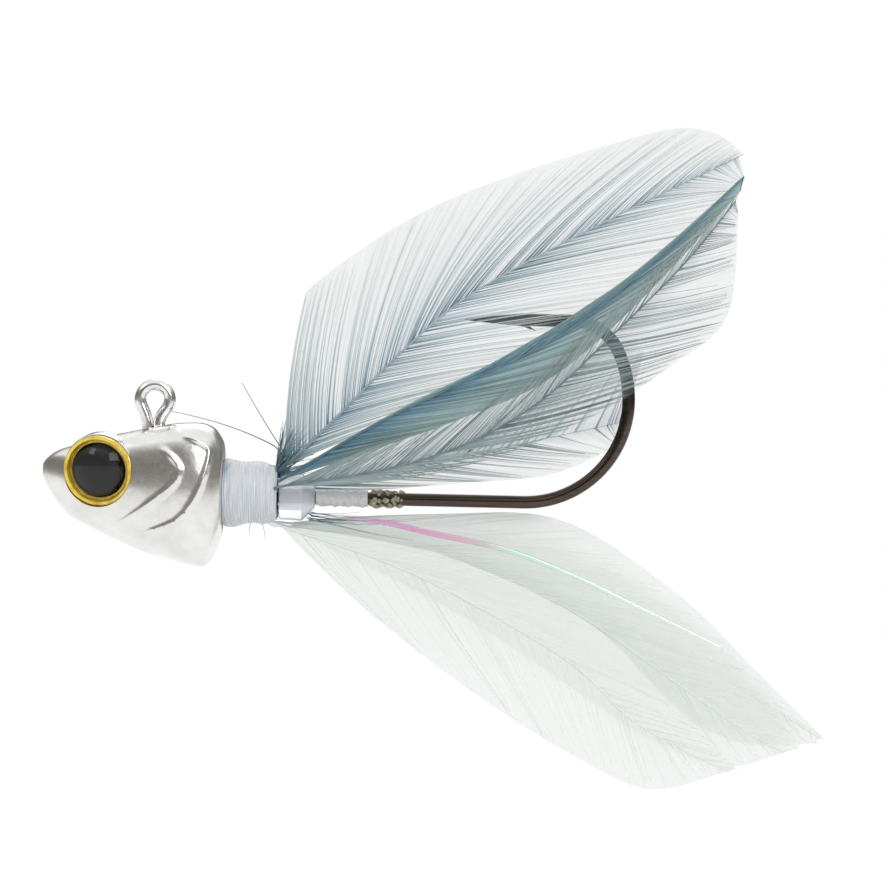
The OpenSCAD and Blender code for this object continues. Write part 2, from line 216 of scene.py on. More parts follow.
def make_dim_wall():
    """A grey wall round the set that only the reflections see, so that polished metal has shape."""
    bpy.ops.mesh.primitive_cylinder_add(vertices=96, radius=0.75, depth=0.63, end_fill_type="NOTHING",
                                        location=(0.03, 0, 0.265))
    wall = bpy.context.object
    wall.name = "studio_wall"
    bpy.ops.object.transform_apply(location=True, rotation=True, scale=True)
    for kind in ("camera", "diffuse", "shadow", "transmission"):
        setattr(wall, "visible_" + kind, False)
    paint = bpy.data.materials.new("wall paint")
    paint.use_nodes = True
    nodes = Nodes(paint.node_tree)
    split = nodes.add("ShaderNodeSeparateXYZ")
    nodes.wire(nodes.object_place(), split.inputs[0])
    height = nodes.reach(split.outputs["Z"], -0.05, 0.58, 0, 1)
    shade = nodes.ramp(height, [(0, (0.46, 0.44, 0.41)), (0.08, (0.26, 0.245, 0.22)), (0.35, (0.20, 0.185, 0.165)),
                                (0.62, (0.30, 0.285, 0.26)), (0.82, (0.6, 0.6, 0.6)), (1, (1, 1, 1))])
    glow = nodes.add("ShaderNodeEmission")
    nodes.wire(shade, glow.inputs["Color"])
    nodes.wire(glow.outputs[0], paint.node_tree.nodes["Material Output"].inputs["Surface"])
    wall.data.materials.append(paint)


def softbox(name, place, aim, size, power):
    lamp = bpy.data.lights.new(name, "AREA")
    lamp.shape = "RECTANGLE"
    lamp.size, lamp.size_y = size
    lamp.energy = power
    box = bpy.data.objects.new(name, lamp)
    bpy.context.scene.collection.objects.link(box)
    box.location = Vector(place)
    box.rotation_euler = (Vector(aim) - Vector(place)).to_track_quat("-Z", "Y").to_euler()
    box.visible_camera = False


def make_studio():
    make_world()
    make_floor()
    make_dim_wall()
    middle = (0.02, 0, 0)
    softbox("key softbox", (0.20, -0.38, 0.20), middle, (0.24, 0.20), 0.62)
    softbox("left softbox", (-0.30, -0.26, 0.30), middle, (0.14, 0.14), 0.22)
    softbox("rear softbox", (0.05, 0.40, 0.32), middle, (0.30, 0.30), 0.40)


# ---------------------------------------------------------------- finishes

def finish(name, colour, rough, **values):
    made = bpy.data.materials.new(name)
    made.use_nodes = True
    shader = made.node_tree.nodes["Principled BSDF"]
    shader.inputs["Base Color"].default_value = (*colour, 1)
    shader.inputs["Roughness"].default_value = rough
    for key, value in values.items():
        shader.inputs[key.replace("_", " ")].default_value = value
    return made, Nodes(made.node_tree), shader.inputs


def silver_lacquer():
    made, nodes, shader = finish("silver lacquer", (0.80, 0.80, 0.78), 0.2, Metallic=1.0, Coat_Weight=0.35,
                                 Coat_Roughness=0.04)
    place = nodes.object_place()
    cloud = nodes.noise(place, 380, 4)
    fleck = nodes.noise(place, 5200, 2)
    nodes.wire(nodes.mix(nodes.reach(cloud, 0.35, 0.7, 0, 1), [0.74, 0.735, 0.71], [0.86, 0.86, 0.85]),
               shader["Base Color"])
    nodes.wire(nodes.reach(fleck, 0.3, 0.7, 0.17, 0.27), shader["Roughness"])
    nodes.wire(nodes.bump(nodes.noise(place, 420, 2), 0.00006, 0.5), shader["Normal"])
    return made


def hook_nickel():
    """Black nickel wire, with the line eye washed over by the head's silver lacquer."""
    made, nodes, shader = finish("black nickel", (0.12, 0.10, 0.09), 0.16, Metallic=1.0)
    split = nodes.add("ShaderNodeSeparateXYZ")
    place = nodes.object_place()
    nodes.wire(place, split.inputs[0])
    in_front = nodes.reach(split.outputs["X"], 0.004, 0.005, 1, 0)
    above = nodes.reach(split.outputs["Z"], -0.0075, -0.0065, 0, 1)
    silver = nodes.maths("MULTIPLY", in_front, above)
    streak = nodes.noise(nodes.stretched(place, (40, 900, 900)), 3.0, 3)
    nickel = nodes.ramp(streak, [(0.3, tint(72, 64, 60)), (0.7, tint(92, 80, 72))])
    nodes.wire(nodes.mix(silver, nickel, [0.80, 0.80, 0.80]), shader["Base Color"])
    nodes.wire(nodes.reach(nodes.noise(place, 2600), 0.3, 0.7, 0.12, 0.24), shader["Roughness"])
    return made


def eye_foil():
    made, nodes, shader = finish("gold foil", tint(238, 206, 80), 0.3, Metallic=0.45, Coat_Weight=0.5)
    patch = nodes.noise(nodes.object_place(), 900, 3)
    nodes.wire(nodes.ramp(patch, [(0.3, tint(206, 160, 40)), (0.5, tint(238, 208, 74)), (0.75, tint(250, 232, 120))]),
               shader["Base Color"])
    return made


def eye_pupil():
    made, nodes, shader = finish("pupil print", tint(22, 18, 19), 0.5, Specular_IOR_Level=0.0)
    speck = nodes.noise(nodes.object_place(), 2400, 2)
    nodes.wire(nodes.ramp(speck, [(0.45, tint(8, 6, 7)), (0.75, tint(26, 19, 18))]), shader["Base Color"])
    return made


def clear_resin(name, colour, rough, clear=1.0, bend=1.47):
    made, nodes, shader = finish(name, colour, rough, Transmission_Weight=clear, IOR=bend)
    nodes.wire(nodes.bump(nodes.noise(nodes.object_place(), 500, 2), 0.00002, 0.3), shader["Normal"])
    return made


def bound_thread():
    """Wet-look white thread in fine turns, with some blue dye drawn in beside the head."""
    made, nodes, shader = finish("bound thread", tint(222, 226, 231), 0.38, Sheen_Weight=0.2, Coat_Weight=0.25,
                                 Subsurface_Weight=0.15, Subsurface_Scale=0.0006)
    along, across = nodes.along_across()
    joined = nodes.add("ShaderNodeCombineXYZ")
    nodes.wire(along, joined.inputs[0])
    nodes.wire(across, joined.inputs[1])
    strand = nodes.noise(nodes.stretched(joined.outputs[0], (70, 5, 1)), 1.0, 5, 0.7)
    wash = nodes.noise(nodes.object_place(), 700, 2)
    pale = nodes.ramp(strand, [(0.28, tint(172, 178, 190)), (0.48, tint(216, 221, 228)), (0.75, tint(246, 248, 250))])
    split = nodes.add("ShaderNodeSeparateXYZ")
    nodes.wire(nodes.object_place(), split.inputs[0])
    dyed = nodes.maths("MULTIPLY", nodes.reach(split.outputs["X"], 0.0070, 0.0080, 1, 0),
                       nodes.reach(split.outputs["Z"], -0.0085, -0.0062, 0, 1))
    dyed = nodes.maths("MULTIPLY", dyed, nodes.reach(wash, 0.4, 0.6, 0.2, 1))
    nodes.wire(nodes.mix(dyed, pale, tint(70, 110, 140)), shader["Base Color"])
    nodes.wire(nodes.bump(strand, 0.00008, 0.8), shader["Normal"])
    return made


def dried_glue():
    made, nodes, shader = finish("dried glue", tint(226, 222, 200), 0.12, Transmission_Weight=0.55, IOR=1.5)
    grain = nodes.noise(nodes.object_place(), 4200, 3)
    nodes.wire(nodes.ramp(grain, [(0.4, tint(186, 176, 128)), (0.6, tint(236, 234, 222))]), shader["Base Color"])
    nodes.wire(nodes.bump(grain, 0.0001, 1.0), shader["Normal"])
    return made


def quill_horn():
    made, nodes, shader = finish("quill horn", tint(120, 150, 165), 0.45)
    nodes.wire(nodes.ramp(nodes.noise(nodes.object_place(), 1500), [(0.3, tint(84, 118, 138)), (0.7, tint(150, 176, 186))]),
               shader["Base Color"])
    return made


def barb_dye(name, root, body, end, dark):
    """Barb and quill colour. Along the strand it runs from the root to the end, and each strand
    has its own depth of dye."""
    made, nodes, shader = finish(name, body, 0.5, Sheen_Weight=0.15)
    along, depth = nodes.along_across()
    run = nodes.ramp(along, [(0.0, root), (0.3, body), (0.75, end)])
    deep = nodes.mix(1.0, run, dark, "MULTIPLY")
    share = nodes.reach(depth, 0.0, 1.0, 0.0, 1.0)
    fleck = nodes.noise(nodes.object_place(), 900, 2)
    share = nodes.maths("MULTIPLY", share, nodes.reach(fleck, 0.3, 0.7, 0.7, 1.0))
    nodes.wire(nodes.mix(share, run, deep), shader["Base Color"])
    return made


def vane_film(name, near, far, near_cover, far_cover, reach_out, stripes):
    """The fine fluff between the barbs, as a film that is denser beside the quill."""
    made, nodes, shader = finish(name, far, 0.6, Sheen_Weight=0.1)
    along, across = nodes.along_across()
    out = nodes.maths("ABSOLUTE", nodes.maths("MULTIPLY", nodes.maths("SUBTRACT", across, 0.5), 2.0))
    joined = nodes.add("ShaderNodeCombineXYZ")
    nodes.wire(along, joined.inputs[0])
    nodes.wire(across, joined.inputs[1])
    fine = nodes.noise(nodes.stretched(joined.outputs[0], (150, 4, 1)), 1.0, 4, 0.65)
    broad = nodes.noise(nodes.stretched(joined.outputs[0], (26, 2.2, 1)), 1.0, 2, 0.5)
    stripe = nodes.maths("ADD", nodes.maths("MULTIPLY", fine, 0.5), nodes.maths("MULTIPLY", broad, 0.5))
    place = nodes.maths("ADD", out, nodes.maths("MULTIPLY", nodes.maths("SUBTRACT", 0.5, stripe), 0.7))
    nodes.wire(nodes.ramp(place, [(0.0, near), (reach_out, [(a + 2 * b) / 3 for a, b in zip(near, far)]), (1.0, far)]),
               shader["Base Color"])
    rooted = nodes.reach(along, 0.0, 0.16, 0.45, 0.0)
    place = nodes.maths("SUBTRACT", place, rooted)
    cover = nodes.ramp(place, [(0.0, [near_cover] * 3), (reach_out, [(near_cover + 2 * far_cover) / 3] * 3),
                               (1.0, [far_cover] * 3)])
    spread = nodes.reach(stripe, 0.34, 0.66, 1 - stripes, 1 + stripes)
    nodes.wire(nodes.maths("MULTIPLY", cover, spread), shader["Alpha"])
    return made


def flash_film():
    """Pearl film whose colour turns from pink to mint along the strand and dies out at its end."""
    made, nodes, shader = finish("pearl flash", tint(224, 160, 214), 0.2, Metallic=0.25, Coat_Weight=0.6)
    along, across = nodes.along_across()
    patch = nodes.noise(nodes.object_place(), 260, 2)
    place = nodes.maths("ADD", along, nodes.reach(patch, 0.3, 0.7, -0.03, 0.03))
    nodes.wire(nodes.ramp(place, [(0.0, tint(216, 196, 226)), (0.16, tint(224, 160, 216)), (0.36, tint(234, 182, 210)),
                                  (0.46, tint(226, 214, 214)), (0.53, tint(220, 250, 234)), (0.8, tint(234, 253, 243)),
                                  (1.0, tint(242, 252, 246))]), shader["Base Color"])
    nodes.wire(nodes.maths("MULTIPLY", nodes.reach(along, 0.4, 1.0, 0.95, 0.2), nodes.reach(along, 0.10, 0.30, 0.0, 0.9)),
               shader["Alpha"])
    return made


# ---------------------------------------------------------------- shaping tools

def on_curve(points, share):
    """Smooth curve through points, at shares from 0 to 1 of the way."""
    points = np.asarray(points, float)
    share = np.clip(np.asarray(share, float), 0, 1)
    spans = len(points) - 1
    k = np.minimum((share * spans).astype(int), spans - 1)
    t = (share * spans - k)[..., None]
    a, b, c, d = points[np.maximum(k - 1, 0)], points[k], points[k + 1], points[np.minimum(k + 2, spans)]
    return 0.5 * (2 * b + (c - a) * t + (2 * a - 5 * b + 4 * c - d) * t * t + (3 * b - a - 3 * c + d) * t ** 3)


def smooth_step(low, high, value):
    t = np.clip((value - low) / (high - low), 0, 1)
    return t * t * (3 - 2 * t)


def edit_all():
    bpy.ops.object.mode_set(mode="EDIT")
    bpy.ops.mesh.select_all(action="SELECT")


def close_up(piece, weld=0.000002):
    """Welds a piece's seams and turns its faces outward."""
    edit_all()
    bpy.ops.mesh.remove_doubles(threshold=weld)
    bpy.ops.mesh.normals_make_consistent(inside=False)
    bpy.ops.object.mode_set(mode="OBJECT")
    bpy.ops.object.shade_smooth()
    return piece


def bent_grid(name, cuts_along, cuts_across, place):
    """A grid whose points are moved to place(along, across), both from 0 to 1, in metres."""
    bpy.ops.object.select_all(action="DESELECT")
    bpy.ops.mesh.primitive_grid_add(x_subdivisions=cuts_along, y_subdivisions=cuts_across, size=2)
    piece = bpy.context.object
    piece.name = name
    count = len(piece.data.vertices)
    flat = np.empty(count * 3)
    piece.data.vertices.foreach_get("co", flat)
    flat = flat.reshape(-1, 3)
    spots = place((flat[:, 0] + 1) / 2, (flat[:, 1] + 1) / 2)
    piece.data.vertices.foreach_set("co", np.ascontiguousarray(spots).ravel())
    piece.data.update()
    return piece


def turned(name, profile, sides, frame_of, soft=True):
    """A piece turned on a lathe: profile gives [radius, height] along the cut, in millimetres."""
    profile = np.asarray(profile, float)
    runs = np.linspace(0, 1, len(profile))

    def place(along, across):
        radius = np.interp(along, runs, profile[:, 0])
        height = np.interp(along, runs, profile[:, 1])
        angle = across * 2 * np.pi
        spots = np.stack([radius * np.cos(angle), radius * np.sin(angle), height], axis=1) * MM
        return spots @ np.array(frame_of.to_3x3()).T + np.array(frame_of.translation)

    piece = close_up(bent_grid(name, len(profile) - 1, sides, place))
    if not soft:
        bpy.ops.object.shade_smooth_by_angle(angle=math.radians(40))
    return piece


def rounded(corners, radius, steps=5):
    """A cut's outline with its inner corners rounded off."""
    corners = np.asarray(corners, float)
    line = [corners[0]]
    for before, corner, after in zip(corners[:-2], corners[1:-1], corners[2:]):
        back, ahead = before - corner, after - corner
        trim = min(radius, np.linalg.norm(back) / 2.05, np.linalg.norm(ahead) / 2.05)
        start = corner + back / np.linalg.norm(back) * trim
        end = corner + ahead / np.linalg.norm(ahead) * trim
        for t in np.linspace(0, 1, steps):
            line.append((1 - t) ** 2 * start + 2 * t * (1 - t) * corner + t * t * end)
    line.append(corners[-1])
    return np.array(line)


def straw(rings, sides):
    """One closed straw along Z from 0 to 1, the pattern for barbs, quills and wire."""
    bpy.ops.object.select_all(action="DESELECT")
    bpy.ops.mesh.primitive_circle_add(vertices=sides, radius=1, fill_type="NGON")
    piece = bpy.context.object
    edit_all()
    for ring in range(rings - 1):
        bpy.ops.mesh.extrude_region_move(TRANSFORM_OT_translate={"value": (0, 0, 1 / (rings - 1))})
    bpy.ops.mesh.select_all(action="SELECT")
    bpy.ops.mesh.normals_make_consistent(inside=False)
    bpy.ops.object.mode_set(mode="OBJECT")
    spots = np.array([v.co[:] for v in piece.data.vertices])
    faces = [tuple(p.vertices) for p in piece.data.polygons]
    bpy.data.objects.remove(piece)
    return spots, faces


def strands(name, pattern, routes, widths, depths, side=(0, 1, 0)):
    """Copies of the straw, each bent along its own route. Its UV map holds the way along the
    strand and the strand's depth of dye."""
    spots, faces = pattern
    routes, widths = np.asarray(routes, float), np.asarray(widths, float)
    rings = routes.shape[1]
    ring = np.rint(spots[:, 2] * (rings - 1)).astype(int)
    ahead = np.gradient(routes, axis=1)
    ahead /= np.linalg.norm(ahead, axis=2, keepdims=True) + 1e-12
    across = np.cross(ahead, np.broadcast_to(np.array(side, float), ahead.shape))
    across /= np.linalg.norm(across, axis=2, keepdims=True) + 1e-12
    third = np.cross(ahead, across)
    width = widths[:, ring, None]
    body = routes[:, ring] + width * (spots[None, :, 0, None] * across[:, ring] + spots[None, :, 1, None] * third[:, ring])
    total, each = body.shape[:2]
    corners = [len(face) for face in faces]
    flat_faces = np.concatenate([np.array(face) for face in faces])
    loops = (flat_faces[None] + each * np.arange(total)[:, None]).ravel()
    starts = np.concatenate([[0], np.cumsum(corners)[:-1]])
    starts = (starts[None] + len(flat_faces) * np.arange(total)[:, None]).ravel()
    mesh = bpy.data.meshes.new(name)
    mesh.vertices.add(total * each)
    mesh.vertices.foreach_set("co", body.ravel())
    mesh.loops.add(len(loops))
    mesh.loops.foreach_set("vertex_index", loops.astype(np.int32))
    mesh.polygons.add(len(starts))
    mesh.polygons.foreach_set("loop_start", starts.astype(np.int32))
    mesh.update(calc_edges=True)
    layer = mesh.uv_layers.new(name="UVMap")
    way = np.tile(spots[flat_faces, 2], total)
    depth = np.repeat(np.asarray(depths, float), len(flat_faces))
    layer.data.foreach_set("uv", np.stack([way, depth], axis=1).ravel())
    mesh.polygons.foreach_set("use_smooth", [True] * len(starts))
    mesh.validate()
    piece = bpy.data.objects.new(name, mesh)
    bpy.context.scene.collection.objects.link(piece)
    return piece


def joined(name, pieces):
    bpy.ops.object.select_all(action="DESELECT")
    for piece in pieces:
        piece.select_set(True)
    bpy.context.view_layer.objects.active = pieces[0]
    bpy.ops.object.join()
    piece = bpy.context.object
    piece.name = name
    return piece


def cut_with(piece, tool, how):
    bpy.ops.object.select_all(action="DESELECT")
    piece.select_set(True)
    bpy.context.view_layer.objects.active = piece
    cutter = piece.modifiers.new("cut", "BOOLEAN")
    cutter.operation = how
    cutter.solver = "EXACT"
    cutter.object = tool
    bpy.ops.object.modifier_apply(modifier="cut")
    bpy.data.objects.remove(tool)


def settle(piece, body, node=None):
    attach(piece, body)
    if node:
        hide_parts(node)


# ---------------------------------------------------------------- head

# Share of the length, height of top and bottom over the chin, and half-width, all in hundredths
HEAD_STATIONS = [
    [0, 66, 64, 0], [0.4, 70, 60, 12], [4, 75, 51, 33], [9, 79, 42, 50], [16, 82, 33, 64],
    [27, 86, 26, 78], [38, 90, 19, 87], [49, 93, 13, 94], [60, 96, 8, 98],
    [72, 99, 4, 100], [83, 100, 1, 99], [89, 99.5, 0, 96], [94, 97, 4, 89],
    [97.5, 92, 14, 80], [100, 85, 25, 68], [100, 72, 34, 48], [100, 60, 48, 24], [100, 55, 53, 0]
]
# Half of a cross-section from the top to the chin: share of the half-width and of the height
HEAD_CUT = [
    [0, 1], [0.24, 0.998], [0.44, 0.99], [0.62, 0.965], [0.82, 0.915], [0.92, 0.83], [0.98, 0.69],
    [1.0, 0.56], [0.985, 0.43], [0.94, 0.30], [0.875, 0.185], [0.80, 0.115], [0.58, 0.05], [0.3, 0.01], [0, 0]
]
# Gill plates' rear edges on the side of the head: points [x, z] in millimetres, top to bottom,
# then the plate's step, and the height and width of the bead along its edge
GILLS = [
    ([[0.8, -4.5], [2.4, -5.9], [3.0, -7.1], [2.2, -8.6], [-0.5, -10.8], [-3.0, -12.5], [-4.6, -13.5]],
     0.08, 0.13, 0.18),
    ([[1.0, -2.8], [2.8, -3.2], [4.6, -3.9], [5.8, -4.7], [5.8, -6.0], [5.2, -8.2], [4.2, -10.4], [2.6, -12.2],
      [-0.4, -13.4], [-2.6, -14.0]], 0.11, 0.17, 0.26),
]
PLATE_RISE = 4.5
PLATE_DROP = 0.38


def plate_lift(x, z):
    """How far the gill plates stand out of the side of the head, in millimetres."""
    lift = np.zeros_like(x)
    for edge, step, bead_h, bead_w in GILLS:
        share = np.linspace(0, 1, 90)
        line = on_curve(edge, share)
        ahead = np.gradient(line, axis=0)
        ahead /= np.linalg.norm(ahead, axis=1, keepdims=True)
        gap = np.stack([x, z], axis=1)[:, None] - line[None]
        nearest = np.argmin((gap ** 2).sum(axis=2), axis=1)
        rows = np.arange(len(x))
        behind = gap[rows, nearest, 0] * -ahead[nearest, 1] + gap[rows, nearest, 1] * ahead[nearest, 0]
        away = np.sqrt((gap[rows, nearest] ** 2).sum(axis=1)) * np.sign(behind)
        fade = smooth_step(0, 0.14, share[nearest]) * smooth_step(1, 0.82, share[nearest])
        front = np.clip(1 + away / PLATE_RISE, 0, 1) ** 1.3
        rear = 1 - smooth_step(0, PLATE_DROP, away)
        bead = np.exp(-((away + 0.1) / bead_w) ** 2)
        lift += fade * (step * np.where(away < 0, front, rear) + bead_h * bead)
    return lift


def eye_frame(side):
    """Frame of an eye: its origin is on the socket's floor and its Z axis points out."""
    toe, droop = math.radians(13), math.radians(11)
    low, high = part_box("eye_foil_left")
    turn = Matrix.Rotation(-toe, 4, "Z") @ Matrix.Rotation(math.pi / 2 + droop, 4, "X")
    centre = (Vector(low) + Vector(high)) / 2 - turn.to_3x3() @ Vector((0, 0, 0.55 * MM))
    left = Matrix.Translation(centre) @ turn
    return left if side < 0 else Matrix.Scale(-1, 4, (0, 1, 0)) @ left


def make_head(lacquer):
    low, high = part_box("jig_head")
    nose, length = low[0] / MM, 18.05
    chin, tall = low[2] / MM, 14.4
    half_width = 5.05

    def place(along, across):
        station = on_curve(HEAD_STATIONS, along)
        left = across < 0.5
        cut = on_curve(HEAD_CUT, np.where(left, across * 2, 2 - across * 2))
        x = nose + length * station[:, 0] / 100
        bottom = chin + tall * station[:, 2] / 100
        top = chin + tall * station[:, 1] / 100
        wide = half_width * np.maximum(station[:, 3], 0) / 100
        z = bottom + (top - bottom) * cut[:, 1]
        y = wide * np.maximum(cut[:, 0], 0)
        shoulder = smooth_step(0.7, 0.9, cut[:, 0]) * smooth_step(101, 96, station[:, 0])
        y += plate_lift(x, z) * shoulder
        y -= 0.06 * smooth_step(2.2, 5.2, x) * shoulder
        return np.stack([x, np.where(left, -y, y), z], axis=1) * MM

    head = close_up(bent_grid("jig_head", 170, 260, place))
    for side in (-1, 1):
        rim = turned("rim", rounded([[0, -1.0], [3.62, -1.0], [3.62, 0.5], [0, 0.5]], 0.08), 96, eye_frame(side))
        cut_with(head, rim, "UNION")
    for side in (-1, 1):
        bore = turned("bore", [[0, 0], [3.55, 0], [3.55, 4.5], [0, 4.5]], 96, eye_frame(side))
        cut_with(head, bore, "DIFFERENCE")
    bpy.ops.object.select_all(action="DESELECT")
    head.select_set(True)
    bpy.context.view_layer.objects.active = head
    bpy.ops.object.shade_smooth_by_angle(angle=math.radians(38))
    head.name = "cast_head"
    head.data.materials.clear()
    head.data.materials.append(lacquer)
    settle(head, "lure", "jig_head")


def make_eyes(foil, pupil, dome):
    cup_r, cup_h, cup_floor, rim_t = 3.5, 1.1, 0.3, 0.35
    cup_cut = rounded([[0, 0], [cup_r, 0], [cup_r, cup_h], [cup_r - rim_t, cup_h], [cup_r - rim_t, cup_floor],
                       [0, cup_floor]], 0.1)
    pupil_r = 2.67
    pupil_cut = rounded([[0, cup_floor], [pupil_r, cup_floor], [pupil_r, cup_floor + 0.15], [0, cup_floor + 0.17]], 0.04)
    dome_r, dome_h = 3.13, 1.6
    ball_r = (dome_r ** 2 + dome_h ** 2) / (2 * dome_h)
    swing = math.asin(dome_r / ball_r)
    cap = [[ball_r * math.sin(a), cup_floor + dome_h - ball_r + ball_r * math.cos(a)]
           for a in np.linspace(swing, 0, 28)]
    dome_cut = [[0, cup_floor + 0.19], [2.75, cup_floor + 0.19], [2.75, cup_floor + 0.02], *cap]
    for side, word in ((-1, "left"), (1, "right")):
        for name, cut, stuff, slot in (("eye_foil", cup_cut, foil, "eye_foil"), ("eye_pupil", pupil_cut, pupil, "eye_pupil"),
                                       ("eye_dome", dome_cut, dome, "eye_dome")):
            piece = turned(f"{name}_{word}.made", cut, 96, eye_frame(side), soft=False)
            piece.data.materials.append(stuff)
            settle(piece, "lure", f"{name}_{word}")


# ---------------------------------------------------------------- hook

def bow(cx, cz, radius, start, turn, step=0.2):
    count = max(6, int(abs(math.radians(turn)) * radius / step))
    angles = np.radians(np.linspace(start, start + turn, count))
    return [[cx + radius * math.cos(a), cz + radius * math.sin(a)] for a in angles]


def straight(start, end, step=0.4):
    count = max(3, int(math.dist(start, end) / step))
    return [list(p) for p in np.linspace(start, end, count)[1:-1]]


def make_hook(nickel):
    eye_r, stem, shank_z = 1.47, 0.62, -9.45
    heel_r, bend_r, mid_r, top_r = 2.2, 10.3, 11.5, 5.2
    bend_x, bend_z = 37.08, 0.85
    mid_x, mid_turn = bend_x + bend_r - mid_r, 26
    top_x = mid_x + (mid_r - top_r) * math.cos(math.radians(mid_turn))
    top_z = bend_z + (mid_r - top_r) * math.sin(math.radians(mid_turn))
    arm_z = top_z + top_r
    taper_x, tip_x = 36.54, 30.74
    cut_end = [[0.44, -2.62], [0.50, -2.1], [0.72, -1.56], [0.96, -1.17]]
    neck = [[-1.18, -0.96], [-0.92, -1.6], [-0.70, -2.3], [-stem, -3.0]]
    ring = bow(0, 0, eye_r, -38, 240, 0.12)
    route = [list(p) for p in on_curve(cut_end + [ring[0]], np.linspace(0, 1, 18))[:-1]]
    route += ring
    route += [list(p) for p in on_curve([ring[-1]] + neck, np.linspace(0, 1, 22))[1:]]
    route += straight([-stem, -3.0], [-stem, shank_z + heel_r])
    wire_change = len(route)
    route += bow(heel_r - stem, shank_z + heel_r, heel_r, 180, 90)
    route += straight([heel_r - stem, shank_z], [bend_x, shank_z])
    route += bow(bend_x, bend_z, bend_r, 270, 90)
    route += bow(mid_x, bend_z, mid_r, 0, mid_turn)[1:]
    route += bow(top_x, top_z, top_r, mid_turn, 90 - mid_turn)[1:]
    route += straight([top_x, arm_z], [taper_x, arm_z])
    taper_from = len(route)
    route += [[x, arm_z - 0.10 * ((taper_x - x) / 5.8)] for x in np.linspace(taper_x, tip_x, 22)]
    route = np.array(route)
    width = np.full(len(route), 0.64)
    width[:wire_change] = 0.59
    share = np.linspace(0, 1, len(route) - taper_from)
    width[taper_from:] = 0.64 * (1 - share) ** 0.8 + 0.02
    spots = np.stack([route[:, 0], np.zeros(len(route)), route[:, 1]], axis=1) * MM
    wire = strands("wire", straw(len(route), 20), [spots], [width * MM], [0.5])
    barb_line = on_curve([[36.1, 8.55], [36.8, 8.25], [37.9, 7.75]], np.linspace(0, 1, 10))
    barb_spots = np.stack([barb_line[:, 0], np.zeros(10), barb_line[:, 1]], axis=1) * MM
    barb_width = np.linspace(0.34, 0.03, 10) * MM
    barb = strands("barb", straw(10, 10), [barb_spots], [barb_width], [0.5])
    hook = joined("hook_wire", [wire, barb])
    hook.data.materials.append(nickel)
    settle(hook, "lure", "hook")


# ---------------------------------------------------------------- binding

def along_shank(x, z):
    return Matrix.Translation((x, 0, z)) @ Matrix.Rotation(math.pi / 2, 4, "Y")


def make_wrap(thread):
    low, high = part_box("thread_wrap")
    axis_z = (low[2] + high[2]) / 2
    length, front_r, rear_r, bore_r = high[0] - low[0], (high[2] - low[2]) / 2, 3.0 * MM, 2.62 * MM
    turns, scallop = 24, 0.07 * MM
    ends = 0.03

    def place(along, across):
        angle = across * 2 * np.pi
        x_share = np.clip((along - ends) / (1 - 2 * ends), 0, 1)
        wander = 0.45 * np.sin(angle * 2 + x_share * 9) + 0.3 * np.sin(angle * 5 + x_share * 31)
        turn = np.abs(np.sin(np.pi * (x_share * turns + across + wander)))
        swell = 0.10 * MM * np.sin(x_share * 11 + 1.2 * np.sin(angle + 1)) + 0.05 * MM * np.sin(angle * 3 + x_share * 5)
        radius = front_r + (rear_r - front_r) * x_share - 2.2 * scallop + turn * scallop + swell
        radius -= 0.25 * MM * (smooth_step(0.94, 1.0, x_share) + 0.5 * smooth_step(0.05, 0.0, x_share))
        inside = np.maximum(smooth_step(ends, 0, along), smooth_step(1 - ends, 1, along))
        radius = radius * (1 - inside) + bore_r * inside
        x = low[0] + length * x_share
        return np.stack([x, radius * np.cos(angle), axis_z + radius * np.sin(angle)], axis=1)

    outer = bent_grid("wrap", 300, 72, place)

    def bore_place(along, across):
        angle = -across * 2 * np.pi
        spot = low[0] + length * along
        return np.stack([spot, bore_r * np.cos(angle), axis_z + bore_r * np.sin(angle)], axis=1)

    bore = bent_grid("bore", 2, 72, bore_place)
    wrap = close_up(joined("thread_winding", [outer, bore]))
    wrap.data.materials.append(thread)
    settle(wrap, "lure", "thread_wrap")


def make_cone(plastic):
    low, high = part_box("flare_cone")
    frame_of = along_shank(low[0], (low[2] + high[2]) / 2)
    cut = rounded([[0.7, 0.02], [2.25, 0.0], [2.35, 2.3], [1.05, 3.56], [0.7, 3.58], [0.7, 0.02]], 0.16)
    cone = turned("flare_collar", cut, 96, frame_of, soft=False)
    cone.data.materials.append(plastic)
    settle(cone, "lure", "flare_cone")


def make_shank_sleeve(plastic):
    low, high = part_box("shank_thread")
    axis_z = (low[2] + high[2]) / 2
    length, bore_r = high[0] - low[0], 0.67 * MM
    ends = 0.04

    def place(along, across):
        angle = across * 2 * np.pi
        share = np.clip((along - ends) / (1 - 2 * ends), 0, 1)
        crease = 0.05 * np.sin(share * 21 + 2.0 * np.sin(angle + share * 4)) + 0.03 * np.sin(share * 47 - angle * 2)
        radius = 0.84 * MM + crease * MM
        inside = np.maximum(smooth_step(ends, 0, along), smooth_step(1 - ends, 1, along))
        radius = radius * (1 - inside) + bore_r * inside
        return np.stack([low[0] + length * share, radius * np.cos(angle), axis_z + radius * np.sin(angle)], axis=1)

    outer = bent_grid("sleeve", 110, 40, place)

    def bore_place(along, across):
        angle = -across * 2 * np.pi
        spot = low[0] + length * along
        return np.stack([spot, bore_r * np.cos(angle), axis_z + bore_r * np.sin(angle)], axis=1)

    bore = bent_grid("bore", 2, 40, bore_place)
    sleeve = close_up(joined("shank_sleeve", [outer, bore]))
    sleeve.data.materials.append(plastic)
    settle(sleeve, "lure", "shank_thread")


